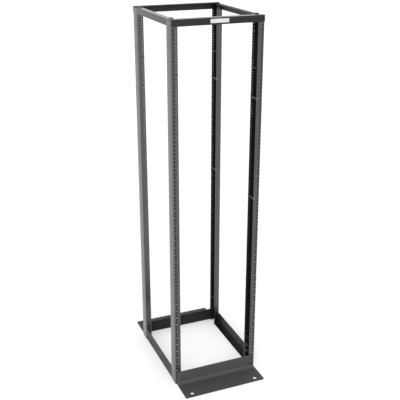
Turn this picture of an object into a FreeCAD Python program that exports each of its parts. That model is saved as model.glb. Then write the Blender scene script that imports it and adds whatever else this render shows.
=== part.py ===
import FreeCAD, Part
import math
import os

# Four-post open frame rack for 19-inch equipment, in millimetres.
# X runs across the rack, Y from front to rear, Z up; the origin is on the floor at the middle.

# Overall sizes, over the outer faces of the four posts
rack_width = 518.0
rack_depth = 610.0
rack_height = 2134.0

# Posts: folded channels, web outwards, flanges pointing into the rack
channel_depth = 73.0
channel_flange = 34.0
channel_wall = 2.7
channel_bend = 4.0

# Equipment mounting holes: three in each rack unit, the same on every flange that carries them
unit_height = 44.45
first_unit_z = 88.0
hole_steps = (6.35, 22.225, 38.1)
hole_from_edge = 7.55
hole_width = 5.6

# Base angles: an upright leg against the post faces and a foot plate that runs outwards
base_inset = 6.5
base_leg = 82.0
base_foot = 156.0
base_wall = 5.0
base_bend = 8.0
foot_corner = 6.0
anchor_diameter = 23.0
anchor_from_end = 49.5
anchor_from_edge = 30.0

# Base side rails: upright leg, bottom flange and a taller bolting tab folded in at each end
rail_height = 86.0
rail_tab_height = 130.0
rail_wall = 2.7
rail_bend = 8.0
rail_flange = 30.0
rail_tab = 28.0
rail_tab_relief = 3.0

# Top angles: the front and rear ones lie over the ends of the side ones, and the rear one hangs lower
front_bar_leg = 35.0
rear_bar_leg = 39.0
bar_flange = 40.0
bar_wall = 3.0
bar_bend = 5.0
side_bar_leg = 33.0
side_bar_flange = 34.0

# Running room where a cut end stands beside another piece
end_clearance = 0.5

half_width = rack_width / 2
half_depth = rack_depth / 2
post_top = rack_height - 2 * bar_wall
inner_face = half_width - channel_flange
bay_depth = rack_depth - 2 * channel_depth
base_length = rack_width - 2 * base_inset
unit_count = int((rack_height - rear_bar_leg - first_unit_z) / unit_height)
panel_unit = unit_count // 2 - 2


def vec(x, y, z):
    return FreeCAD.Vector(x, y, z)


def left_of(direction):
    return vec(-direction.y, direction.x, 0)


def rounded_line(points, radius):
    # Straight runs through the points, with each right-angled corner turned into an arc
    edges = []
    start = points[0]
    for before, corner, after in zip(points, points[1:], points[2:]):
        along = (corner - before).normalize()
        onward = (after - corner).normalize()
        enter = corner - along * radius
        leave = corner + onward * radius
        centre = enter + onward * radius
        middle = centre + (corner - centre).normalize() * radius
        edges.append(Part.makeLine(start, enter))
        edges.append(Part.Arc(enter, middle, leave).toShape())
        start = leave
    edges.append(Part.makeLine(start, points[-1]))
    return edges


def folded_section(points, wall, bend):
    # Section of folded sheet in the XY plane: the outer line turns left, the wall lies to its left
    outer = [vec(x, y, 0) for x, y in points]
    normals = [left_of((b - a).normalize()) for a, b in zip(outer, outer[1:])]
    inner = [outer[0] + normals[0] * wall]
    for corner, first, second in zip(outer[1:-1], normals, normals[1:]):
        inner.append(corner + first * wall + second * wall)
    inner.append(outer[-1] + normals[-1] * wall)
    inner.reverse()
    edges = rounded_line(outer, bend)
    edges.append(Part.makeLine(outer[-1], inner[0]))
    edges += rounded_line(inner, bend - wall)
    edges.append(Part.makeLine(inner[-1], outer[0]))
    return Part.Face(Part.Wire(edges))


def section_along_x(face, length):
    # The section's own x becomes Y and its y becomes Z; the length is centred on X
    turned = face.copy()
    turned.Placement = FreeCAD.Placement(FreeCAD.Matrix(0, 0, 1, -length / 2, 1, 0, 0, 0, 0, 1, 0, 0))
    return turned.extrude(vec(length, 0, 0))


def section_along_y(face, length):
    # The section's own x becomes X and its y becomes Z; the length is centred on Y
    turned = face.copy()
    turned.rotate(vec(0, 0, 0), vec(1, 0, 0), 90)
    turned.translate(vec(0, length / 2, 0))
    return turned.extrude(vec(0, -length, 0))


def box(x0, x1, y0, y1, z0, z1):
    return Part.makeBox(x1 - x0, y1 - y0, z1 - z0, vec(x0, y0, z0))


def across(shape):
    return shape.mirror(vec(0, 0, 0), vec(1, 0, 0))


def fore_and_aft(shape):
    return shape.mirror(vec(0, 0, 0), vec(0, 1, 0))


def mounting_holes():
    # Tools for the hole column of the front left mounting flange
    x = -inner_face - hole_from_edge
    y = -half_depth - channel_wall
    tools = []
    for unit in range(unit_count):
        for step in hole_steps:
            z = first_unit_z + unit * unit_height + step
            if unit == panel_unit and step != hole_steps[1]:
                tools.append(Part.makeCylinder(hole_width / 2, 3 * channel_wall, vec(x, y, z), vec(0, 1, 0)))
            else:
                tools.append(box(x - hole_width / 2, x + hole_width / 2, y, y + 3 * channel_wall,
                                 z - hole_width / 2, z + hole_width / 2))
    return Part.makeCompound(tools)


def make_post():
    # Front left post, with its mounting holes in the front flange
    front = -half_depth
    rear = front + channel_depth
    outline = [(-inner_face, rear), (-half_width, rear), (-half_width, front), (-inner_face, front)]
    section = folded_section(outline, channel_wall, channel_bend)
    channel = section.extrude(vec(0, 0, post_top))
    return channel.cut(mounting_holes())


def make_base_angle():
    # Front base angle with a floor anchor hole near each end of its foot
    toe = -half_depth - base_foot
    section = folded_section([(toe, 0), (-half_depth, 0), (-half_depth, base_leg)], base_wall, base_bend)
    angle = section_along_x(section, base_length)
    toe_edges = [edge for edge in angle.Edges
                 if abs(edge.CenterOfMass.y - toe) < 0.01 and abs(edge.CenterOfMass.z - base_wall / 2) < 0.01]
    angle = angle.makeFillet(foot_corner, toe_edges)
    anchor_x = base_length / 2 - anchor_from_end
    for x in (-anchor_x, anchor_x):
        place = vec(x, toe + anchor_from_edge, -base_wall)
        angle = angle.cut(Part.makeCylinder(anchor_diameter / 2, 3 * base_wall, place, vec(0, 0, 1)))
    return angle


def make_side_rail():
    # Left base rail: a bottom flange on the floor and tabs that lie flat on the post flanges
    outer = -half_width
    end = bay_depth / 2
    tab_tip = outer + rail_tab
    outline = [(tab_tip, end), (outer, end), (outer, -end), (tab_tip, -end)]
    fold = folded_section(outline, rail_wall, rail_bend)
    tab_foot = rail_bend + rail_tab_relief
    leg_and_tabs = fold.extrude(vec(0, 0, rail_tab_height - tab_foot))
    leg_and_tabs.translate(vec(0, 0, tab_foot))
    over = rail_tab_height + rail_wall
    straight = end - rail_bend
    leg_and_tabs = leg_and_tabs.cut(box(outer - rail_wall, tab_tip, -straight, straight, rail_height, over))
    leg_and_tabs = leg_and_tabs.cut(box(outer - rail_wall, outer + rail_bend, -end, end, rail_height, over))
    outline = [(outer, rail_height), (outer, 0), (outer + rail_flange, 0)]
    section = folded_section(outline, rail_wall, rail_bend)
    leg_and_flange = section_along_y(section, bay_depth)
    for y0, y1 in ((-end, -straight), (straight, end)):
        leg_and_flange = leg_and_flange.cut(box(outer - rail_wall, tab_tip, y0, y1, rail_bend, over))
    return leg_and_tabs.fuse(leg_and_flange).removeSplitter()


def make_end_bar(leg):
    # Front top angle: its leg covers the post tops in front, its flange lies over the side bars
    face = -half_depth - bar_wall
    outline = [(face + bar_flange, rack_height), (face, rack_height), (face, rack_height - leg)]
    section = folded_section(outline, bar_wall, bar_bend)
    return section_along_x(section, rack_width)


def make_side_bar():
    # Left top angle: its flange rests on both posts, its leg hangs between them
    outer = -half_width
    top = rack_height - bar_wall
    tip = outer + side_bar_flange
    section = folded_section([(tip, top), (outer, top), (outer, top - side_bar_leg)], bar_wall, bar_bend)
    bar = section_along_y(section, rack_depth - 2 * end_clearance)
    gap = bay_depth / 2 - end_clearance
    for y0, y1 in ((-rack_depth, -gap), (gap, rack_depth)):
        bar = bar.cut(box(outer - bar_wall, 0, y0, y1, 0, post_top))
    return bar


post = make_post()
base_angle = make_base_angle()
side_rail = make_side_rail()
front_bar = make_end_bar(front_bar_leg)
rear_bar = fore_and_aft(make_end_bar(rear_bar_leg))
side_bar = make_side_bar()

nodes = {
    "post_front_left": post,
    "post_front_right": across(post),
    "post_rear_left": fore_and_aft(post),
    "post_rear_right": fore_and_aft(across(post)),
    "base_front": base_angle,
    "base_rear": fore_and_aft(base_angle),
    "base_rail_left": side_rail,
    "base_rail_right": across(side_rail),
    "top_bar_front": front_bar,
    "top_bar_rear": rear_bar,
    "top_bar_left": side_bar,
    "top_bar_right": across(side_bar),
}

os.makedirs("parts", exist_ok=True)
for name, shape in nodes.items():
    solid = shape.Solids[0] if len(shape.Solids) == 1 else shape
    solid.exportStep("parts/" + name + ".step")
    span = solid.BoundBox
    corners = (span.XMin, span.XMax, span.YMin, span.YMax, span.ZMin, span.ZMax)
    volume = round(solid.Volume / 1000, 1)
    print(name, len(shape.Solids), solid.isValid(), volume, "cm3", [round(v, 1) for v in corners])
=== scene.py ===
import math
import bmesh
import bpy
from mathutils import Matrix, Vector


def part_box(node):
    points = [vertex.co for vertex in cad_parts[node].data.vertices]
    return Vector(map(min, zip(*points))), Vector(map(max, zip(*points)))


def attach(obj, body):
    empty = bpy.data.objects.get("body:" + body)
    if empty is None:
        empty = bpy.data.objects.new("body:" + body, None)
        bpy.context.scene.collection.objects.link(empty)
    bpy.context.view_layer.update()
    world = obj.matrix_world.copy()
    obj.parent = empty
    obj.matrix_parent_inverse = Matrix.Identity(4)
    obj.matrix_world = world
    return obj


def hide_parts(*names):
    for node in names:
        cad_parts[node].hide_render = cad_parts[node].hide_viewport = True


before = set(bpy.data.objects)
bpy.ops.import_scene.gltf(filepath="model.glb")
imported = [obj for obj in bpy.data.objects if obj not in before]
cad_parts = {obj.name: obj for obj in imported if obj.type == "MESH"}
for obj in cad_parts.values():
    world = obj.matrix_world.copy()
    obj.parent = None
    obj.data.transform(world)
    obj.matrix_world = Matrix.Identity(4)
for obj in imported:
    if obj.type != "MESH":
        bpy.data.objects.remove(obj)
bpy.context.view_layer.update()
mm = 0.001
print("frame loaded with", len(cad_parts), "steel pieces")


# camera, fitted to the straight edges of the rack
camLook = {"place": (-1.5445, -3.7833, 2.6414), "lens": 66.52, "sensor": 36.0, "farClip": 200.0,
           "yaw": 22.507, "pitch": 21.487, "roll": 0.056}
camData = bpy.data.cameras.new("rackCamera")
camData.lens = camLook["lens"]
camData.sensor_width = camLook["sensor"]
camData.clip_end = camLook["farClip"]
rackCamera = bpy.data.objects.new("rackCamera", camData)
rackCamera.location = camLook["place"]
turnYaw = Matrix.Rotation(math.radians(-camLook["yaw"]), 3, "Z")
turnPitch = Matrix.Rotation(math.radians(90 - camLook["pitch"]), 3, "X")
turnRoll = Matrix.Rotation(math.radians(camLook["roll"]), 3, "Z")
rackCamera.rotation_euler = (turnYaw @ turnPitch @ turnRoll).to_euler()
bpy.context.scene.collection.objects.link(rackCamera)
bpy.context.scene.camera = rackCamera
bpy.context.scene.view_settings.view_transform = "Standard"
print("camera set")


# small helpers for node trees
def addNode(tree, kind, **settings):
    node = tree.nodes.new(kind)
    for name, value in settings.items():
        setattr(node, name, value)
    return node


def feed(tree, value, socket):
    if isinstance(value, (int, float)):
        socket.default_value = value
    else:
        tree.links.new(value, socket)


def addGroup(name, inputs, outputs):
    group = bpy.data.node_groups.new(name, "ShaderNodeTree")
    for label, kind, value in inputs:
        socket = group.interface.new_socket(label, in_out="INPUT", socket_type=kind)
        if value is not None:
            socket.default_value = value
    for label in outputs:
        group.interface.new_socket(label, in_out="OUTPUT", socket_type="NodeSocketFloat")
    return group, addNode(group, "NodeGroupInput"), addNode(group, "NodeGroupOutput")


def useGroup(tree, group, position, values):
    node = addNode(tree, "ShaderNodeGroup", node_tree=group)
    tree.links.new(position, node.inputs["Position"])
    for label, value in values.items():
        node.inputs[label].default_value = value
    return node


def addMath(tree, operation, first, second=None, clamp=False):
    node = addNode(tree, "ShaderNodeMath", operation=operation, use_clamp=clamp)
    feed(tree, first, node.inputs[0])
    if second is not None:
        feed(tree, second, node.inputs[1])
    return node.outputs[0]


def addNoise(tree, vector, scale, detail=2.0, rough=0.5):
    node = addNode(tree, "ShaderNodeTexNoise")
    for label, value in (("Vector", vector), ("Scale", scale), ("Detail", detail), ("Roughness", rough)):
        feed(tree, value, node.inputs[label])
    return node.outputs[0]


def addRange(tree, value, low, high, toLow=0.0, toHigh=1.0, smooth=False):
    node = addNode(tree, "ShaderNodeMapRange", interpolation_type="SMOOTHSTEP" if smooth else "LINEAR")
    for label, number in (("Value", value), ("From Min", low), ("From Max", high),
                          ("To Min", toLow), ("To Max", toHigh)):
        feed(tree, number, node.inputs[label])
    return node.outputs["Result"]


def splitAxes(tree, vector):
    node = addNode(tree, "ShaderNodeSeparateXYZ")
    tree.links.new(vector, node.inputs[0])
    return node.outputs


def mixColour(tree, factor, first, second):
    node = addNode(tree, "ShaderNodeMix", data_type="RGBA")
    tree.links.new(factor, node.inputs["Factor"])
    for slotName, value in (("A", first), ("B", second)):
        socket = [s for s in node.inputs if s.name == slotName and s.type == "RGBA"][0]
        if isinstance(value, tuple):
            socket.default_value = (*value, 1.0)
        else:
            tree.links.new(value, socket)
    return [s for s in node.outputs if s.type == "RGBA"][0]


# the skin of a finish: fine orange peel, slow drift in tone and gloss
skinLook = {"peelScale": 420.0, "finer": 3.1, "fineDetail": 1.0, "peelShare": 0.7,
            "driftScale": 4.0, "driftNoise": (3.0, 0.6), "driftSpan": (0.3, 0.7),
            "speckScale": 60.0, "speckDetail": 1.0, "speckSpan": (0.35, 0.65), "speckShare": 0.2,
            "smearScale": 2.7, "smearNoise": (4.0, 0.65), "smearSpan": (0.3, 0.7)}


def buildCoatSkin(look):
    group, gin, gout = addGroup("coatSkin", (
        ("Position", "NodeSocketVector", None),
        ("Peel Scale", "NodeSocketFloat", look["peelScale"]),
        ("Drift Scale", "NodeSocketFloat", look["driftScale"])), ("Height", "Tone", "Gloss"))
    where = gin.outputs["Position"]
    peelScale, driftScale = gin.outputs["Peel Scale"], gin.outputs["Drift Scale"]
    peel = addNoise(group, where, peelScale)
    fine = addNoise(group, where, addMath(group, "MULTIPLY", peelScale, look["finer"]), look["fineDetail"])
    height = addMath(group, "ADD", addMath(group, "MULTIPLY", peel, look["peelShare"]),
                     addMath(group, "MULTIPLY", fine, 1.0 - look["peelShare"]))
    drift = addNoise(group, where, driftScale, *look["driftNoise"])
    speckScale = addMath(group, "MULTIPLY", driftScale, look["speckScale"])
    speck = addNoise(group, where, speckScale, look["speckDetail"])
    tone = addMath(group, "ADD", addRange(group, drift, *look["driftSpan"], 0.0, 1.0 - look["speckShare"]),
                   addRange(group, speck, *look["speckSpan"], 0.0, look["speckShare"]), True)
    smearScale = addMath(group, "MULTIPLY", driftScale, look["smearScale"])
    smear = addNoise(group, where, smearScale, *look["smearNoise"])
    group.links.new(height, gout.inputs["Height"])
    group.links.new(tone, gout.inputs["Tone"])
    group.links.new(addRange(group, smear, *look["smearSpan"], smooth=True), gout.inputs["Gloss"])
    return group


# rubbed edges, broken up so that only some spots are worn
rubLook = {"width": 1.2 * mm, "amount": 0.5, "bevelSamples": 4, "edgeSpan": (0.995, 0.86),
           "patchScale": 38.0, "patchNoise": (4.0, 0.7), "patchSpan": (0.48, 0.66)}


def buildEdgeRub(look):
    group, gin, gout = addGroup("edgeRub", (
        ("Position", "NodeSocketVector", None),
        ("Width", "NodeSocketFloat", look["width"]),
        ("Amount", "NodeSocketFloat", look["amount"])), ("Mask",))
    bevel = addNode(group, "ShaderNodeBevel", samples=look["bevelSamples"])
    group.links.new(gin.outputs["Width"], bevel.inputs["Radius"])
    flat = addNode(group, "ShaderNodeNewGeometry")
    dot = addNode(group, "ShaderNodeVectorMath", operation="DOT_PRODUCT")
    group.links.new(bevel.outputs["Normal"], dot.inputs[0])
    group.links.new(flat.outputs["Normal"], dot.inputs[1])
    edge = addRange(group, dot.outputs["Value"], *look["edgeSpan"], smooth=True)
    patches = addNoise(group, gin.outputs["Position"], look["patchScale"], *look["patchNoise"])
    worn = addMath(group, "MULTIPLY", edge, addRange(group, patches, *look["patchSpan"], smooth=True))
    group.links.new(addMath(group, "MULTIPLY", worn, gin.outputs["Amount"], True), gout.inputs["Mask"])
    return group


# fine dust that settles on what faces up, most of it near the floor
dustLook = {"reach": 0.3, "amount": 0.3, "upSpan": (0.2, 0.9), "sideShare": 0.15,
            "filmScale": 26.0, "filmNoise": (5.0, 0.7), "filmSpan": (0.35, 0.75)}


def buildFloorDust(look):
    group, gin, gout = addGroup("floorDust", (
        ("Position", "NodeSocketVector", None),
        ("Reach", "NodeSocketFloat", look["reach"]),
        ("Amount", "NodeSocketFloat", look["amount"])), ("Mask",))
    where = gin.outputs["Position"]
    low = addRange(group, splitAxes(group, where)["Z"], 0.0, gin.outputs["Reach"], 1.0, 0.0, True)
    facing = addNode(group, "ShaderNodeNewGeometry").outputs["Normal"]
    top = addRange(group, splitAxes(group, facing)["Z"], *look["upSpan"], look["sideShare"], 1.0, True)
    cloud = addNoise(group, where, look["filmScale"], *look["filmNoise"])
    film = addRange(group, cloud, *look["filmSpan"])
    mask = addMath(group, "MULTIPLY", addMath(group, "MULTIPLY", low, top), film)
    group.links.new(addMath(group, "MULTIPLY", mask, gin.outputs["Amount"], True), gout.inputs["Mask"])
    return group


coatSkin = buildCoatSkin(skinLook)
edgeRub = buildEdgeRub(rubLook)
floorDust = buildFloorDust(dustLook)


# painted highlight along the fold of the base angle, where the bend catches the light: fades up its leg and
# ends a little way out on the foot
def foldHighlightMask(tree, where, look):
    axes = splitAxes(tree, where)
    along = addMath(tree, "SUBTRACT", addMath(tree, "ABSOLUTE", axes["Y"]), axes["Z"])
    start, full, ease, end = look["foldReach"]
    rise = addRange(tree, along, start, full, look["foldRest"], 1.0, True)
    return addMath(tree, "MULTIPLY", rise, addRange(tree, along, ease, end, 1.0, 0.0, True))


# painted light on the tabs at the rail ends: paler where they stand above the rail, clear of its shade
def tabLightMask(tree, where, look):
    axes = splitAxes(tree, where)
    atEnd = addMath(tree, "GREATER_THAN", addMath(tree, "ABSOLUTE", axes["Y"]), look["tabSkin"])
    return addMath(tree, "MULTIPLY", atEnd, addRange(tree, axes["Z"], *look["tabRise"], smooth=True))


# painted shade on the side of the base angle that faces the bay, away from the light: the coat is darker
# there
def bayShadeMask(tree, where, look):
    fromMiddle = addMath(tree, "ABSOLUTE", splitAxes(tree, where)["Y"])
    return addMath(tree, "LESS_THAN", fromMiddle, look["baySkin"])


# ink that fades with height
def fadeMask(tree, where, look):
    return addRange(tree, splitAxes(tree, where)["Z"], *look["fadeLevels"])


# one finish for steel, plating or film; dust and the masks above (painted highlight, painted light, painted
# shade and fading ink) only where its look has them
def buildFinish(name, look):
    material = bpy.data.materials.new(name)
    material.use_nodes = True
    tree = material.node_tree
    shader = tree.nodes["Principled BSDF"]
    where = addNode(tree, "ShaderNodeTexCoord").outputs["Object"]
    skin = useGroup(tree, coatSkin, where, {"Peel Scale": look["peelScale"],
                                            "Drift Scale": look["driftScale"]})
    rub = useGroup(tree, edgeRub, where, {"Width": look["rubWidth"], "Amount": look["rubAmount"]})
    colour = mixColour(tree, skin.outputs["Tone"], look["dark"], look["light"])
    colour = mixColour(tree, rub.outputs["Mask"], colour, look["rubbed"])
    rough = addRange(tree, skin.outputs["Gloss"], 0.0, 1.0, *look["roughness"])
    if "dust" in look:
        film = useGroup(tree, floorDust, where, {"Reach": look["dustReach"], "Amount": look["dustAmount"]})
        dust = film.outputs["Mask"]
        colour = mixColour(tree, dust, colour, look["dust"])
        rough = addMath(tree, "ADD", rough, addMath(tree, "MULTIPLY", dust, look["dustRough"]), True)
    masks = {"foldHighlight": foldHighlightMask, "tabLitTone": tabLightMask, "bayShade": bayShadeMask, "faded": fadeMask}
    for tone, mask in masks.items():
        if tone in look:
            colour = mixColour(tree, mask(tree, where, look), colour, look[tone])
    tree.links.new(colour, shader.inputs["Base Color"])
    tree.links.new(rough, shader.inputs["Roughness"])
    shader.inputs["IOR"].default_value = look["ior"]
    shader.inputs["Metallic"].default_value = look["metallic"]
    bump = addNode(tree, "ShaderNodeBump")
    bump.inputs["Strength"].default_value = look["peelStrength"]
    bump.inputs["Distance"].default_value = look["peelHeight"]
    tree.links.new(skin.outputs["Height"], bump.inputs["Height"])
    tree.links.new(bump.outputs["Normal"], shader.inputs["Normal"])
    return material


# satin powder coats: what most of them share, then the values of each
coatBase = {
    "metallic": 0.0, "peelScale": 380.0, "peelStrength": 0.2, "peelHeight": 0.2 * mm, "driftScale": 5.0,
    "rubbed": (0.09, 0.09, 0.095), "rubWidth": 1.2 * mm, "rubAmount": 0.45,
    "dust": (0.2, 0.19, 0.18), "dustReach": 0.2, "dustAmount": 0.2, "dustRough": 0.35,
}
postCoatLook = {
    **coatBase, "dark": (0.009, 0.009, 0.0095), "light": (0.016, 0.016, 0.0165),
    "roughness": (0.2, 0.3), "ior": 1.88,
    "rubbed": (0.1, 0.1, 0.105), "rubAmount": 0.5, "dust": (0.21, 0.2, 0.19), "dustReach": 0.25,
    "peelScale": 420.0, "peelStrength": 0.12, "driftScale": 3.0,
}
channelShadeCoatLook = {**postCoatLook, "ior": 1.386}  # painted shade: a duller copy of the post coat for the faces inside the channels
railCoatLook = {
    **coatBase, "dark": (0.003, 0.003, 0.0032), "light": (0.007, 0.007, 0.0073),
    "roughness": (0.42, 0.54), "ior": 1.42, "driftScale": 6.0,
    "rubbed": (0.1, 0.1, 0.105), "rubWidth": 1.6 * mm, "rubAmount": 0.5,
    "dust": (0.12, 0.115, 0.11), "dustReach": 0.12, "dustAmount": 0.06,
    # painted light: the rail tabs are paler above the rail
    "tabLitTone": (0.04, 0.04, 0.0405), "tabSkin": 229.2 * mm, "tabRise": (76 * mm, 92 * mm),
}
footCoatLook = {
    **coatBase, "dark": (0.054, 0.054, 0.055), "light": (0.07, 0.07, 0.071),
    "roughness": (0.5, 0.62), "ior": 1.3, "driftScale": 6.0,
    "rubbed": (0.15, 0.15, 0.155), "rubWidth": 1.6 * mm, "rubAmount": 0.6,
    "dust": (0.16, 0.155, 0.15), "dustReach": 0.12, "dustAmount": 0.12,
    # painted highlight: a pale band along the fold of the base angle
    "foldHighlight": (0.12, 0.12, 0.12), "foldReach": (288 * mm, 308 * mm, 318 * mm, 340 * mm), "foldRest": 0.26,
    # painted shade: a darker coat on the side of the base angle that faces the bay
    "bayShade": (0.012, 0.012, 0.0122), "baySkin": 305.4 * mm,
}
# painted shade: the front and left top bars take a darker copy of the post coat
topCoatLook = {
    **coatBase, "dark": (0.007, 0.007, 0.0075), "light": (0.013, 0.013, 0.0135),
    "roughness": (0.12, 0.2), "ior": 1.41, "peelStrength": 0.1,
}
flatCoatLook = {
    **coatBase, "dark": (0.013, 0.013, 0.0135), "light": (0.021, 0.021, 0.0215),
    "roughness": (0.54, 0.66), "ior": 1.4,
}
# painted light: the right top bar takes a paler copy of the coat, lighter on its face towards the bay
sideCoatLook = {
    **coatBase, "dark": (0.032, 0.032, 0.0325), "light": (0.044, 0.044, 0.0445),
    "roughness": (0.5, 0.62), "ior": 1.42, "rubbed": (0.1, 0.1, 0.105),
}
# painted light: the ears take a paler coat than the other black steel, so they stay grey in the shade inside
# the channels
earCoatLook = {
    **coatBase, "dark": (0.06, 0.06, 0.061), "light": (0.1, 0.1, 0.101),
    "roughness": (0.5, 0.62), "ior": 1.3, "driftScale": 14.0,
    "rubbed": (0.18, 0.18, 0.185), "rubAmount": 0.5, "dustReach": 0.12, "dustAmount": 0.06,
}
postCoat = buildFinish("postCoat", postCoatLook)
channelCoat = buildFinish("channelCoat", channelShadeCoatLook)
railCoat = buildFinish("railCoat", railCoatLook)
footCoat = buildFinish("footCoat", footCoatLook)
topCoat = buildFinish("topCoat", topCoatLook)
flatCoat = buildFinish("flatCoat", flatCoatLook)
sideCoat = buildFinish("sideCoat", sideCoatLook)
earCoat = buildFinish("earCoat", earCoatLook)
print("powder coats ready")


# plated fasteners and lips, with a faint cloudy plating
platingBase = {"peelScale": 900.0, "driftScale": 70.0, "peelStrength": 0.15, "peelHeight": 0.1 * mm,
               "rubWidth": 0.6 * mm, "rubAmount": 0.35}
blackPlatingLook = {**platingBase, "dark": (0.003, 0.003, 0.0032), "light": (0.006, 0.006, 0.0063),
                    "rubbed": (0.05, 0.05, 0.05), "rubAmount": 0.3,
                    "roughness": (0.45, 0.6), "metallic": 0.0, "ior": 1.22}
dullPlatingLook = {**platingBase, "dark": (0.1, 0.1, 0.1), "light": (0.14, 0.14, 0.138),
                   "rubbed": (0.24, 0.24, 0.235), "roughness": (0.4, 0.55), "metallic": 0.3, "ior": 1.45}
brightPlatingLook = {**platingBase, "dark": (0.26, 0.26, 0.26), "light": (0.34, 0.34, 0.338),
                     "rubbed": (0.42, 0.42, 0.41), "roughness": (0.35, 0.5), "metallic": 0.2, "ior": 1.45}
zincPlatingLook = {**platingBase, "dark": (0.38, 0.38, 0.377), "light": (0.48, 0.48, 0.476),
                   "rubbed": (0.6, 0.6, 0.59), "roughness": (0.3, 0.42), "metallic": 0.6, "ior": 1.5}
blackPlating = buildFinish("blackPlating", blackPlatingLook)
dullPlating = buildFinish("dullPlating", dullPlatingLook)
brightPlating = buildFinish("brightPlating", brightPlatingLook)
zincPlating = buildFinish("zincPlating", zincPlatingLook)

# thin printed or stuck-on surfaces: a fibrous film with faint stains
filmBase = {"metallic": 0.0, "peelScale": 900.0, "driftScale": 30.0, "peelStrength": 0.08,
            "peelHeight": 0.1 * mm, "rubWidth": 0.8 * mm, "rubAmount": 0.4}
plateFilmLook = {**filmBase, "dark": (0.66, 0.66, 0.65), "light": (0.8, 0.8, 0.795),
                 "rubbed": (0.6, 0.6, 0.58), "rubAmount": 0.6, "roughness": (0.35, 0.5), "ior": 1.45,
                 "peelScale": 700.0, "driftScale": 20.0}
markInkLook = {**filmBase, "dark": (0.004, 0.004, 0.004), "light": (0.008, 0.008, 0.008),
               "rubbed": (0.04, 0.04, 0.04), "roughness": (0.6, 0.75), "ior": 1.3,
               "faded": (0.03, 0.03, 0.03), "fadeLevels": (0.1, 2.1)}
paleInkLook = {**filmBase, "dark": (0.17, 0.17, 0.17), "light": (0.22, 0.22, 0.22),
               "rubbed": (0.08, 0.08, 0.08), "roughness": (0.5, 0.65), "ior": 1.4,
               "faded": (0.04, 0.04, 0.04), "fadeLevels": (0.1, 2.1)}
plateFilm = buildFinish("plateFilm", plateFilmLook)
markInk = buildFinish("markInk", markInkLook)
paleInk = buildFinish("paleInk", paleInkLook)
print("fastener and plate finishes ready")


# helpers for meshes
def meshObject(name, mesh):
    piece = bpy.data.objects.new(name, mesh)
    bpy.context.scene.collection.objects.link(piece)
    return piece


def bmToMesh(bm, name):
    mesh = bpy.data.meshes.new(name)
    bm.to_mesh(mesh)
    bm.free()
    return mesh


def smoothByAngle(mesh, degrees):
    mesh.polygons.foreach_set("use_smooth", [True] * len(mesh.polygons))
    mesh.set_sharp_from_angle(angle=math.radians(degrees))


def addFace(bm, corners):
    return bm.faces.new([bm.verts.new(corner) for corner in corners])


def joinRings(bm, rings):
    for first, second in zip(rings, rings[1:]):
        for k in range(len(first)):
            n = (k + 1) % len(first)
            bm.faces.new((first[k], first[n], second[n], second[k]))


def closeRings(bm, rings):
    joinRings(bm, rings)
    bm.faces.new(list(reversed(rings[0])))
    return bm.faces.new(rings[-1])


def settle(piece):
    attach(piece, "root")


# helpers for geometry trees
def addTree(name, inputs):
    tree = bpy.data.node_groups.new(name, "GeometryNodeTree")
    tree.interface.new_socket("Geometry", in_out="INPUT", socket_type="NodeSocketGeometry")
    for label, kind in inputs:
        tree.interface.new_socket(label, in_out="INPUT", socket_type=kind)
    tree.interface.new_socket("Geometry", in_out="OUTPUT", socket_type="NodeSocketGeometry")
    return tree, addNode(tree, "NodeGroupInput"), addNode(tree, "NodeGroupOutput")


def finishTree(tree, gin, gout, solid):
    finish = addNode(tree, "GeometryNodeSetMaterial")
    tree.links.new(solid, finish.inputs["Geometry"])
    tree.links.new(gin.outputs["Finish"], finish.inputs["Material"])
    tree.links.new(finish.outputs[0], gout.inputs["Geometry"])


def runTree(host, tree, values):
    modifier = host.modifiers.new(tree.name, "NODES")
    modifier.node_group = tree
    keys = {item.name: item.identifier for item in tree.interface.items_tree if item.in_out == "INPUT"}
    for label, value in values.items():
        modifier[keys[label]] = value
    bpy.context.view_layer.update()
    shown = host.evaluated_get(bpy.context.evaluated_depsgraph_get())
    mesh = bpy.data.meshes.new_from_object(shown)
    host.modifiers.remove(modifier)
    old = host.data
    host.data = mesh
    bpy.data.meshes.remove(old)
    mesh.polygons.foreach_set("material_index", [0] * len(mesh.polygons))
    mesh.materials.clear()
    mesh.materials.append(values["Finish"])
    return mesh


# pieces stacked up a post at one pitch, welded where they meet
def buildStackTree():
    tree, gin, gout = addTree("stackPieces", (
        ("Count", "NodeSocketInt"), ("Pitch", "NodeSocketFloat"), ("First", "NodeSocketVector"),
        ("Facing", "NodeSocketVector"), ("Weld", "NodeSocketFloat"), ("Finish", "NodeSocketMaterial")))
    line = addNode(tree, "GeometryNodeMeshLine", mode="OFFSET")
    step = addNode(tree, "ShaderNodeCombineXYZ")
    turn = addNode(tree, "FunctionNodeEulerToRotation")
    place = addNode(tree, "GeometryNodeInstanceOnPoints")
    real = addNode(tree, "GeometryNodeRealizeInstances")
    weld = addNode(tree, "GeometryNodeMergeByDistance")
    wire = tree.links.new
    wire(gin.outputs["Count"], line.inputs["Count"])
    wire(gin.outputs["First"], line.inputs["Start Location"])
    wire(gin.outputs["Pitch"], step.inputs["Z"])
    wire(step.outputs[0], line.inputs["Offset"])
    wire(line.outputs[0], place.inputs["Points"])
    wire(gin.outputs["Geometry"], place.inputs["Instance"])
    wire(gin.outputs["Facing"], turn.inputs[0])
    wire(turn.outputs[0], place.inputs["Rotation"])
    wire(place.outputs[0], real.inputs[0])
    wire(real.outputs[0], weld.inputs["Geometry"])
    wire(gin.outputs["Weld"], weld.inputs["Distance"])
    finishTree(tree, gin, gout, weld.outputs[0])
    return tree


stackPieces = buildStackTree()


def stackUp(host, count, pitch, first, facing, finish, weld=0.0):
    return runTree(host, stackPieces, {"Count": count, "Pitch": pitch, "First": first, "Facing": facing,
                                       "Weld": weld, "Finish": finish})


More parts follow.
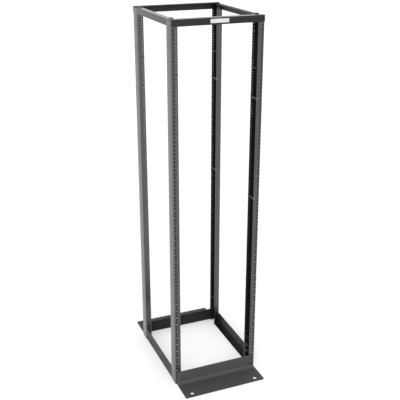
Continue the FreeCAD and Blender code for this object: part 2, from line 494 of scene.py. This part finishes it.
# posts: one rack unit of perforated channel, stacked up the post between two plain ends
postLook = {
    "unitHeight": 44.45 * mm, "units": 45, "firstUnit": 88 * mm,
    "steps": (6.35 * mm, 22.225 * mm, 38.1 * mm),
    "wall": 2.7 * mm, "bend": 4 * mm, "bendSteps": 5,
    "holeFromEdge": 7.55 * mm, "holeMargin": 4.6 * mm, "holeRadius": 2.4 * mm, "holeSides": 12,
    "collarWall": 1.0 * mm, "collarDepth": 4.0 * mm, "chamfer": 0.35 * mm,
    "skinGap": 0.1 * mm, "weld": 0.01 * mm, "smoothAngle": 35,
}


def holeStops(look, flange):
    hole, margin = flange - look["holeFromEdge"], look["holeMargin"]
    return hole, [flange, hole + margin, hole - margin, look["bend"]]


def channelOutline(look, flange, depth):
    wall, bend, steps = look["wall"], look["bend"], look["bendSteps"]
    stops = holeStops(look, flange)[1]
    outer = [(u, 0.0) for u in stops]
    inner = [(u, wall) for u in stops]
    for middle, start, firstStep in ((bend, 270.0, 1), (depth - bend, 180.0, 0)):
        for step in range(firstStep, steps + 1):
            angle = math.radians(start - 90.0 * step / steps)
            for line, radius in ((outer, bend), (inner, bend - wall)):
                line.append((bend + radius * math.cos(angle), middle + radius * math.sin(angle)))
    outer += [(u, depth) for u in reversed(stops[:-1])]
    inner += [(u, depth - wall) for u in reversed(stops[:-1])]
    return outer, inner


def quadStrip(bm, first, second, low, high):
    addFace(bm, [(*first, low), (*second, low), (*second, high), (*first, high)])


# triangles between a hole's ring and the rim of the flat around it, both taken in order of angle
def bridgeRing(bm, rim, ring, middle):
    def byAngle(loop):
        spread = [(math.atan2(p[2] - middle[1], p[0] - middle[0]), p) for p in loop]
        return sorted(spread, key=lambda pair: pair[0])

    def at(turn, k):
        angle, point = turn[k % len(turn)]
        return angle + 2 * math.pi * (k // len(turn)), point

    rimTurn, ringTurn = byAngle(rim), byAngle(ring)
    i = j = 0
    while i < len(ringTurn) or j < len(rimTurn):
        nextRing, nextRim = at(ringTurn, i + 1), at(rimTurn, j + 1)
        here, there = at(ringTurn, i)[1], at(rimTurn, j)[1]
        if j >= len(rimTurn) or (i < len(ringTurn) and nextRing[0] <= nextRim[0]):
            addFace(bm, (here, nextRing[1], there))
            i += 1
        else:
            addFace(bm, (here, nextRim[1], there))
            j += 1


def holeRing(look, hole, level, radius, v):
    sides = look["holeSides"]
    turns = [2 * math.pi * (k + 0.5) / sides for k in range(sides)]
    return [(hole + radius * math.cos(t), v, level + radius * math.sin(t)) for t in turns]


def unitCell(look, flange, depth):
    bm = bmesh.new()
    outer, inner = channelOutline(look, flange, depth)
    hole, stops = holeStops(look, flange)
    drilled = len(stops) - 1  # strips at each end of the outline that the hole flats take up
    steps = look["steps"]
    levels = [0.0, (steps[0] + steps[1]) / 2, (steps[1] + steps[2]) / 2, look["unitHeight"]]
    radius, collar = look["holeRadius"], look["holeRadius"] + look["collarWall"]
    for low, high, middle in zip(levels, levels[1:], steps):
        for line in (outer, inner):
            for k in range(drilled, len(line) - drilled - 1):
                quadStrip(bm, line[k], line[k + 1], low, high)
        for end in (0, -1):
            quadStrip(bm, outer[end], inner[end], low, high)
        for face, inward in ((0.0, 1), (depth, -1)):
            back = face + inward * look["wall"]
            lip = back + inward * look["collarDepth"]
            profile = ((radius + look["chamfer"], face), (radius, face + inward * look["chamfer"]),
                       (radius, lip), (collar, lip), (collar, back))
            rings = [holeRing(look, hole, middle, *turned) for turned in profile]
            for v, ring in ((face, rings[0]), (back, rings[-1])):
                bridgeRing(bm, [(u, v, z) for z in (low, high) for u in stops], ring, (hole, middle))
            joinRings(bm, [[bm.verts.new(point) for point in ring] for ring in rings])
    bmesh.ops.remove_doubles(bm, verts=bm.verts, dist=look["weld"])
    return bmToMesh(bm, "unitCell")


def addPlainEnd(bm, look, flange, depth, low, high, capped):
    outer, inner = channelOutline(look, flange, depth)
    for line in (outer, inner):
        for first, second in zip(line, line[1:]):
            quadStrip(bm, first, second, low, high)
    for end in (0, -1):
        quadStrip(bm, outer[end], inner[end], low, high)
    for k in range(len(outer) - 1):
        addFace(bm, [(*spot, capped) for spot in (outer[k], outer[k + 1], inner[k + 1], inner[k])])


def buildPost(name, node, look):
    low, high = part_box(node)
    flange, depth = high.x - low.x, high.y - low.y
    piece = meshObject(name, unitCell(look, flange, depth))
    mesh = stackUp(piece, look["units"], look["unitHeight"], (0.0, 0.0, look["firstUnit"]), (0.0, 0.0, 0.0),
                   postCoat, look["weld"])
    bm = bmesh.new()
    bm.from_mesh(mesh)
    lastUnit = look["firstUnit"] + look["units"] * look["unitHeight"]
    addPlainEnd(bm, look, flange, depth, low.z, look["firstUnit"], low.z)
    addPlainEnd(bm, look, flange, depth, lastUnit, high.z, high.z)
    bmesh.ops.remove_doubles(bm, verts=bm.verts, dist=look["weld"])
    skin = look["wall"] - look["skinGap"]
    # faces inside the channel take the duller copy of the post coat: painted shade
    for face in bm.faces:
        u, v, _ = face.calc_center_median()
        face.material_index = int(u > skin and skin < v < depth - skin)
    left, front = low.x < 0, low.y < 0
    for vert in bm.verts:
        u, v, z = vert.co
        vert.co = (low.x + u if left else high.x - u, low.y + v if front else high.y - v, z)
    bmesh.ops.recalc_face_normals(bm, faces=bm.faces)
    if bm.calc_volume(signed=True) < 0:
        bmesh.ops.reverse_faces(bm, faces=bm.faces)
    openEdges = sum(1 for edge in bm.edges if len(edge.link_faces) != 2)
    bm.to_mesh(mesh)
    bm.free()
    mesh.materials.append(channelCoat)
    smoothByAngle(mesh, look["smoothAngle"])
    settle(piece)
    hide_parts(node)
    print(name, "made,", len(mesh.polygons), "faces,", openEdges, "open edges")


postSpots = (("FrontLeft", "post_front_left", -1, -1), ("FrontRight", "post_front_right", 1, -1),
             ("RearLeft", "post_rear_left", -1, 1), ("RearRight", "post_rear_right", 1, 1))
for spot, nodeName, _, _ in postSpots:
    buildPost("post" + spot, nodeName, postLook)


# the other steel keeps its own shape and takes a better finish
# the top bars take different copies of one coat: a darker one on the front and left bars, painted shade, and
# a paler one on the right bar, painted light
barFinishes = {"top_bar_front": topCoat, "top_bar_left": topCoat, "top_bar_rear": flatCoat,
               "top_bar_right": sideCoat, "base_front": footCoat, "base_rear": footCoat,
               "base_rail_left": railCoat, "base_rail_right": railCoat}
for nodeName, finish in barFinishes.items():
    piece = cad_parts[nodeName]
    for slot in piece.material_slots:
        slot.material = finish
    if not piece.material_slots:
        piece.data.materials.append(finish)
print("base and top angles coated")


# turned and hexagonal forms for the fasteners
turnedLook = {
    "washerSides": 20, "washerFoot": 0.97, "washerTop": 0.95, "washerEase": 0.15 * mm,
    "washerRound": 0.3 * mm,
    "hexSides": 12, "headTop": 0.86, "headRound": 0.9 * mm,
    "nutFoot": 0.93, "nutTop": 0.88, "nutRound": 0.7 * mm,
    "threads": 3, "threadPitch": 1.25 * mm, "threadRoot": 0.86,
    "studSunk": 0.5 * mm, "studTip": 0.7, "tipLength": 0.6,
    "buttonSides": 24, "buttonRim": 0.8 * mm, "buttonSteps": 4, "buttonTurn": 22.0,
    "socketMouth": 1.15, "socketFloor": 0.35, "smoothAngle": 40,
}


def latheRings(bm, rings, sides, hexRings=()):
    loops = []
    for number, (radius, z) in enumerate(rings):
        loop = []
        for k in range(sides):
            t = 2 * math.pi * k / sides
            r = radius
            if number in hexRings:
                r = radius * math.cos(math.pi / 6) / math.cos((t % (math.pi / 3)) - math.pi / 6)
            loop.append(bm.verts.new((r * math.cos(t), r * math.sin(t), z)))
        loops.append(loop)
    closeRings(bm, loops)


def washerInto(bm, look):
    rim, thick = look["washer"] / 2, look["washerThick"]
    latheRings(bm, [(rim * turnedLook["washerFoot"], 0.0), (rim, turnedLook["washerEase"]),
                    (rim, thick - turnedLook["washerRound"]), (rim * turnedLook["washerTop"], thick)],
               turnedLook["washerSides"])
    corner = look["acrossFlats"] / 2 / math.cos(math.pi / 6)
    return corner, thick, thick + look["headHeight"]


def hexHead(look):
    bm = bmesh.new()
    corner, foot, top = washerInto(bm, look)
    latheRings(bm, [(corner, foot), (corner, top - turnedLook["headRound"]),
                    (corner * turnedLook["headTop"], top)], turnedLook["hexSides"], (0, 1))
    return bmToMesh(bm, look["name"])


def hexNut(look):
    bm = bmesh.new()
    corner, foot, top = washerInto(bm, look)
    ease = turnedLook["nutRound"]
    latheRings(bm, [(corner * turnedLook["nutFoot"], foot), (corner, foot + ease), (corner, top - ease),
                    (corner * turnedLook["nutTop"], top)], turnedLook["hexSides"], (1, 2))
    stud, pitch = look["stud"] / 2, turnedLook["threadPitch"]
    root = stud * turnedLook["threadRoot"]
    rings = [(root, top - turnedLook["studSunk"])]
    for turn in range(turnedLook["threads"]):
        rings += [(stud, top + (turn + 0.5) * pitch), (root, top + (turn + 1) * pitch)]
    tip = turnedLook["threads"] + turnedLook["tipLength"]
    rings.append((stud * turnedLook["studTip"], top + tip * pitch))
    latheRings(bm, rings, turnedLook["hexSides"])
    return bmToMesh(bm, look["name"])


def buttonHead(look):
    bm = bmesh.new()
    wide, tall, socket = look["headWide"] / 2, look["headHeight"], look["socket"] / 2
    rim, mouth = turnedLook["buttonRim"], socket * turnedLook["socketMouth"]
    rings = [(wide, 0.0), (wide, rim)]
    for step in range(1, turnedLook["buttonSteps"] + 1):
        t = math.radians(turnedLook["buttonTurn"] * step)
        rings.append((mouth + (wide - mouth) * math.cos(t), rim + (tall - rim) * math.sin(t)))
    deep = len(rings)
    rings += [(socket, tall), (socket, tall * turnedLook["socketFloor"])]
    latheRings(bm, rings, turnedLook["buttonSides"], (deep, deep + 1))
    return bmToMesh(bm, look["name"])


def buildFastenerTree():
    tree, gin, gout = addTree("setFasteners", (
        ("Fastener", "NodeSocketObject"), ("Seed", "NodeSocketInt"), ("Finish", "NodeSocketMaterial")))
    info = addNode(tree, "GeometryNodeObjectInfo")
    facing = addNode(tree, "GeometryNodeInputNamedAttribute", data_type="FLOAT_VECTOR")
    facing.inputs["Name"].default_value = "facing"
    align = addNode(tree, "FunctionNodeAlignRotationToVector", axis="Z")
    spin = addNode(tree, "FunctionNodeRandomValue", data_type="FLOAT")
    spinMax = [s for s in spin.inputs if s.name == "Max" and s.type == "VALUE"][0]
    spinMax.default_value = 2 * math.pi
    turn = addNode(tree, "FunctionNodeAxisAngleToRotation")
    turn.inputs["Axis"].default_value = (0.0, 0.0, 1.0)
    both = addNode(tree, "FunctionNodeRotateRotation", rotation_space="LOCAL")
    place = addNode(tree, "GeometryNodeInstanceOnPoints")
    real = addNode(tree, "GeometryNodeRealizeInstances")
    wire = tree.links.new
    wire(gin.outputs["Fastener"], info.inputs["Object"])
    wire(facing.outputs[0], align.inputs["Vector"])
    wire(gin.outputs["Seed"], spin.inputs["Seed"])
    wire([s for s in spin.outputs if s.type == "VALUE"][0], turn.inputs["Angle"])
    wire(align.outputs[0], both.inputs["Rotation"])
    wire(turn.outputs[0], both.inputs["Rotate By"])
    wire(both.outputs[0], place.inputs["Rotation"])
    wire(gin.outputs["Geometry"], place.inputs["Points"])
    wire(info.outputs["Geometry"], place.inputs["Instance"])
    wire(place.outputs[0], real.inputs[0])
    finishTree(tree, gin, gout, real.outputs[0])
    return tree


setFasteners = buildFastenerTree()


def placeFasteners(name, shape, places, finish, seed):
    pattern = meshObject(shape.name + "Pattern", shape)
    spots = bpy.data.meshes.new(name)
    spots.from_pydata([p for p, _ in places], [], [])
    facing = spots.attributes.new("facing", "FLOAT_VECTOR", "POINT")
    facing.data.foreach_set("vector", [c for _, f in places for c in f])
    piece = meshObject(name, spots)
    mesh = runTree(piece, setFasteners, {"Fastener": pattern, "Seed": seed, "Finish": finish})
    bpy.data.objects.remove(pattern)
    smoothByAngle(mesh, turnedLook["smoothAngle"])
    settle(piece)
    print(name, "set:", len(places))


# spots on upright faces at the given corners; outward is 1 away from the rack's middle and -1 towards it
def flangeSpots(corners, across, face, heights, outward):
    return [((sx * across, sy * face, z), (0, outward * sy, 0)) for sx, sy in corners for z in heights]


fourCorners = [(sx, sy) for sx in (-1, 1) for sy in (-1, 1)]
postLow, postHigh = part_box("post_front_left")

# corner bolts through the lapped top angles; the right pair is black plated, painted shade where the right
# bar meets the front bar
topBoltLook = {"name": "topBolt", "acrossFlats": 19 * mm, "headHeight": 5.6 * mm, "washer": 27 * mm,
               "washerThick": 1.6 * mm, "across": 238 * mm, "along": 253 * mm, "seed": 3}
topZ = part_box("top_bar_left")[1].z
for sideName, sx, finish in (("Left", -1, dullPlating), ("Right", 1, blackPlating)):
    topSpots = [((sx * topBoltLook["across"], sy * topBoltLook["along"], topZ), (0, 0, 1))
                for sy in (-1, 1)]
    placeFasteners("topCornerBolts" + sideName, hexHead(topBoltLook), topSpots, finish,
                   topBoltLook["seed"])

# bolts through the base legs into the posts; the right ones take the darker side coat, painted shade on the
# side away from the light
legBoltLook = {"name": "legBolt", "acrossFlats": 15 * mm, "headHeight": 5.3 * mm, "washer": 20 * mm,
               "washerThick": 1.5 * mm, "across": 238 * mm, "heights": (24 * mm, 60 * mm),
               "fromToe": 151 * mm, "seed": 5}
legFace = abs(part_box("base_front")[0].y) - legBoltLook["fromToe"]
for sideName, sx, finish in (("Left", -1, dullPlating), ("Right", 1, sideCoat)):
    legSpots = flangeSpots([(sx, -1), (sx, 1)], legBoltLook["across"], legFace, legBoltLook["heights"], 1)
    placeFasteners("baseLegBolts" + sideName, hexHead(legBoltLook), legSpots, finish,
                   legBoltLook["seed"])

# nuts inside the channels: on the ears behind the rail tabs, and on the outer flanges behind the leg bolts
channelNutLook = {"name": "channelNut", "acrossFlats": 18 * mm, "headHeight": 8 * mm, "washer": 20 * mm,
                  "washerThick": 1.5 * mm, "stud": 10 * mm, "across": 238.5 * mm,
                  "heights": (51 * mm, 95 * mm), "seed": 7}
earLook = {"thick": 4.3 * mm, "corner": 3 * mm, "ease": 0.5 * mm, "cornerSteps": 4, "smoothAngle": 50,
           "outline": ((226.5 * mm, 12 * mm), (254.6 * mm, 12 * mm), (254.6 * mm, 106 * mm),
                       (233 * mm, 132 * mm), (226.5 * mm, 132 * mm))}
innerSkin = abs(postHigh.y) + postLook["wall"]
outerSkin = abs(postLow.y) - postLook["wall"]
nutSpots = flangeSpots(fourCorners, channelNutLook["across"], innerSkin + earLook["thick"],
                       channelNutLook["heights"], 1)
nutSpots += flangeSpots(fourCorners, legBoltLook["across"], outerSkin, legBoltLook["heights"], -1)
placeFasteners("channelNuts", hexNut(channelNutLook), nutSpots, blackPlating,
               channelNutLook["seed"])

# button heads on the rail tabs, towards the bay
tabScrewLook = {"name": "tabScrew", "headWide": 14 * mm, "headHeight": 4.6 * mm, "socket": 5.8 * mm,
                "tabWall": 2.7 * mm, "seed": 9}
tabFace = abs(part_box("base_rail_left")[1].y) - tabScrewLook["tabWall"]
tabSpots = flangeSpots(fourCorners, channelNutLook["across"], tabFace, channelNutLook["heights"], -1)
placeFasteners("railTabScrews", buttonHead(tabScrewLook), tabSpots, blackPlating,
               tabScrewLook["seed"])

# plated screws low on the post webs
webScrewLook = {"name": "webScrew", "headWide": 18 * mm, "headHeight": 4.2 * mm, "socket": 6.0 * mm,
                "along": 260 * mm, "height": 103 * mm, "seed": 11}
webFace = abs(postLow.x)
webSpots = [((sx * webFace, sy * webScrewLook["along"], webScrewLook["height"]), (sx, 0, 0))
            for sx, sy in fourCorners]
placeFasteners("webScrews", buttonHead(webScrewLook), webSpots, zincPlating,
               webScrewLook["seed"])


# ears inside the channels, which back the rail tabs and carry the nuts
def roundedOutline(corners, radius, steps):
    line = []
    for k, spot in enumerate(corners):
        corner = Vector(spot)
        before = (Vector(corners[k - 1]) - corner).normalized()
        after = (Vector(corners[(k + 1) % len(corners)]) - corner).normalized()
        half = before.angle(after) / 2
        centre = corner + (before + after).normalized() * radius / math.sin(half)
        start = corner + before * radius / math.tan(half) - centre
        stop = corner + after * radius / math.tan(half) - centre
        line += [centre + start.lerp(stop, step / steps).normalized() * radius for step in range(steps + 1)]
    return line


def buildEars(look):
    bm = bmesh.new()
    line = roundedOutline(look["outline"], look["corner"], look["cornerSteps"])
    for sx, sy in fourCorners:
        front = closeRings(bm, [[bm.verts.new((sx * u, sy * (innerSkin + depth), z)) for u, z in line]
                                for depth in (0.0, look["thick"])])
        bmesh.ops.bevel(bm, geom=list(front.edges), offset=look["ease"], segments=1, affect="EDGES")
    bmesh.ops.recalc_face_normals(bm, faces=bm.faces)
    mesh = bmToMesh(bm, "channelEars")
    mesh.materials.append(earCoat)
    smoothByAngle(mesh, look["smoothAngle"])
    settle(meshObject("channelEars", mesh))
    print("ears set inside the channels")


buildEars(earLook)


# unit marks beside the mounting holes: a pale line at the edge of each rack unit and two dark bars in it
markLook = {"across": 248.8 * mm, "wide": 9 * mm, "thick": 0.12 * mm, "corner": 1.2 * mm,
            "unitEdge": 95 * mm, "bars": ((11.5 * mm, 14 * mm), (32.0 * mm, 14 * mm)), "line": (0.0, 8 * mm)}
postFace = abs(postLow.y)


def roundedBar(wide, tall, thick, corner, name, steps=3):
    bm = bmesh.new()
    rings = []
    ease = thick / 2
    for inset, depth in ((0.0, 0.0), (0.0, ease), (ease, thick)):
        ring = []
        radius = corner - inset
        for cx, cz, first in ((1, 1, 0), (-1, 1, 90), (-1, -1, 180), (1, -1, 270)):
            for step in range(steps + 1):
                t = math.radians(first + 90.0 * step / steps)
                ring.append(bm.verts.new((cx * (wide / 2 - corner) + radius * math.cos(t),
                                          cz * (tall / 2 - corner) + radius * math.sin(t), depth)))
        rings.append(ring)
    closeRings(bm, rings)
    return bmToMesh(bm, name)


def stackInto(joined, shape, *stacking):
    helper = meshObject(shape.name + "Part", shape)
    made = stackUp(helper, *stacking)
    joined.from_mesh(made)
    bpy.data.objects.remove(helper)
    bpy.data.meshes.remove(made)


def settleStack(joined, name, finish):
    mesh = bmToMesh(joined, name)
    mesh.materials.append(finish)
    settle(meshObject(name, mesh))


def printMarks(name, sx, sy, marks, finish):
    joined = bmesh.new()
    facing = (math.pi / 2, 0.0, 0.0 if sy < 0 else math.pi)
    for above, tall in marks:
        bar = roundedBar(markLook["wide"], tall, markLook["thick"], markLook["corner"], "markBar")
        first = (sx * markLook["across"], sy * postFace, markLook["unitEdge"] + above)
        stackInto(joined, bar, postLook["units"], postLook["unitHeight"], first, facing, finish)
    settleStack(joined, name, finish)


for spot, _, sx, sy in postSpots:
    printMarks("unitBars" + spot, sx, sy, markLook["bars"], markInk)
    printMarks("unitLines" + spot, sx, sy, (markLook["line"],), paleInk)
print("unit marks printed on the post faces")


# thin straps across the channel mouths, in pairs of one height
strapLook = {"sheet": 0.8 * mm, "lip": 4.2 * mm, "inPair": 2,
             "tallPair": {"tall": 13 * mm, "level": 1116 * mm, "step": 577 * mm},
             "lowPair": {"tall": 5 * mm, "level": 196 * mm, "step": 1660 * mm}}


def boxInto(bm, low, high):
    for vert in bmesh.ops.create_cube(bm, size=1.0)["verts"]:
        vert.co = [a + (b - a) * (c + 0.5) for a, b, c in zip(low, high, vert.co)]


def strapShape(look, tall, reach):
    bm = bmesh.new()
    far = reach + look["sheet"]
    boxInto(bm, (-look["sheet"], -far, -tall / 2), (0.0, far, tall / 2))
    return bmToMesh(bm, "strap")


# the tall pair hooks over the flange tips with plated lips
def lipShape(look, tall, reach):
    bm = bmesh.new()
    far = reach + look["sheet"]
    for near, end in ((-far, -reach), (reach, far)):
        boxInto(bm, (0.0, near, -tall / 2), (look["lip"], end, tall / 2))
    return bmToMesh(bm, "strapLip")


def buildStraps(name, shapeMaker, pairs, finish):
    joined = bmesh.new()
    tip, near = abs(postHigh.x), abs(postHigh.y)
    middle, reach = (postFace + near) / 2, (postFace - near) / 2
    for sx, sy in fourCorners:
        facing = (0.0, 0.0, 0.0 if sx > 0 else math.pi)
        for pair in pairs:
            shape = shapeMaker(strapLook, pair["tall"], reach)
            first = (sx * tip, sy * middle, pair["level"])
            stackInto(joined, shape, strapLook["inPair"], pair["step"], first, facing, finish)
    settleStack(joined, name, finish)


buildStraps("channelStraps", strapShape, (strapLook["tallPair"], strapLook["lowPair"]), flatCoat)
buildStraps("strapLips", lipShape, (strapLook["tallPair"],), brightPlating)
print("straps set across the channel mouths")


# bare white plate on the front top bar
plateLook = {"wide": 103 * mm, "tall": 20.5 * mm, "thick": 0.8 * mm, "corner": 2.2 * mm, "cornerSteps": 6,
             "middle": (3.7 * mm, 2117.5 * mm), "smoothAngle": 50}
plateMesh = roundedBar(plateLook["wide"], plateLook["tall"], plateLook["thick"], plateLook["corner"],
                       "whitePlate", plateLook["cornerSteps"])
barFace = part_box("top_bar_front")[0].y
plateMesh.transform(Matrix.Translation((plateLook["middle"][0], barFace, plateLook["middle"][1]))
                    @ Matrix.Rotation(math.pi / 2, 4, "X"))
plateMesh.materials.append(plateFilm)
smoothByAngle(plateMesh, plateLook["smoothAngle"])
settle(meshObject("whitePlate", plateMesh))
print("bare plate fixed")


# floor, world and lamp
floorLook = {"half": 40.0, "drop": 0.4 * mm, "tone": (0.82, 0.82, 0.82), "glow": 0.36}
lightLook = {"ambient": 0.75, "sunStrength": 1.4, "sunAngle": 50.0, "sunFrom": (-0.42, -0.9, 0.42)}


# 1 where the floor or the sky is seen, straight, mirrored or through glass, and 0 where it only gives light
def seenRays(tree):
    path = addNode(tree, "ShaderNodeLightPath").outputs
    return addMath(tree, "ADD", addMath(tree, "ADD", path["Is Camera Ray"], path["Is Glossy Ray"]),
                   path["Is Transmission Ray"], True)


floorBm = bmesh.new()
half = floorLook["half"]
floorCorners = ((-half, -half), (half, -half), (half, half), (-half, half))
addFace(floorBm, [(x, y, -floorLook["drop"]) for x, y in floorCorners])
paleFloor = meshObject("paleFloor", bmToMesh(floorBm, "paleFloor"))
paper = bpy.data.materials.new("floorPaper")
paper.use_nodes = True
tree = paper.node_tree
tree.nodes.remove(tree.nodes["Principled BSDF"])
matte = addNode(tree, "ShaderNodeBsdfDiffuse")
matte.inputs["Color"].default_value = (*floorLook["tone"], 1.0)
glow = addNode(tree, "ShaderNodeEmission")
tree.links.new(addMath(tree, "MULTIPLY", seenRays(tree), floorLook["glow"]), glow.inputs["Strength"])
both = addNode(tree, "ShaderNodeAddShader")
tree.links.new(matte.outputs[0], both.inputs[0])
tree.links.new(glow.outputs[0], both.inputs[1])
tree.links.new(both.outputs[0], tree.nodes["Material Output"].inputs["Surface"])
paleFloor.data.materials.append(paper)

studio = bpy.data.worlds.new("studio")
studio.use_nodes = True
bpy.context.scene.world = studio
tree = studio.node_tree
sky = tree.nodes["Background"]
tree.links.new(addRange(tree, seenRays(tree), 0.0, 1.0, lightLook["ambient"], 1.0), sky.inputs["Strength"])
sky.inputs["Color"].default_value = (1.0, 1.0, 1.0, 1.0)

sunData = bpy.data.lights.new("softSun", "SUN")
sunData.energy = lightLook["sunStrength"]
sunData.angle = math.radians(lightLook["sunAngle"])
softSun = bpy.data.objects.new("softSun", sunData)
softSun.rotation_euler = Vector(lightLook["sunFrom"]).to_track_quat("Z", "Y").to_euler()
bpy.context.scene.collection.objects.link(softSun)
print("floor and light set")
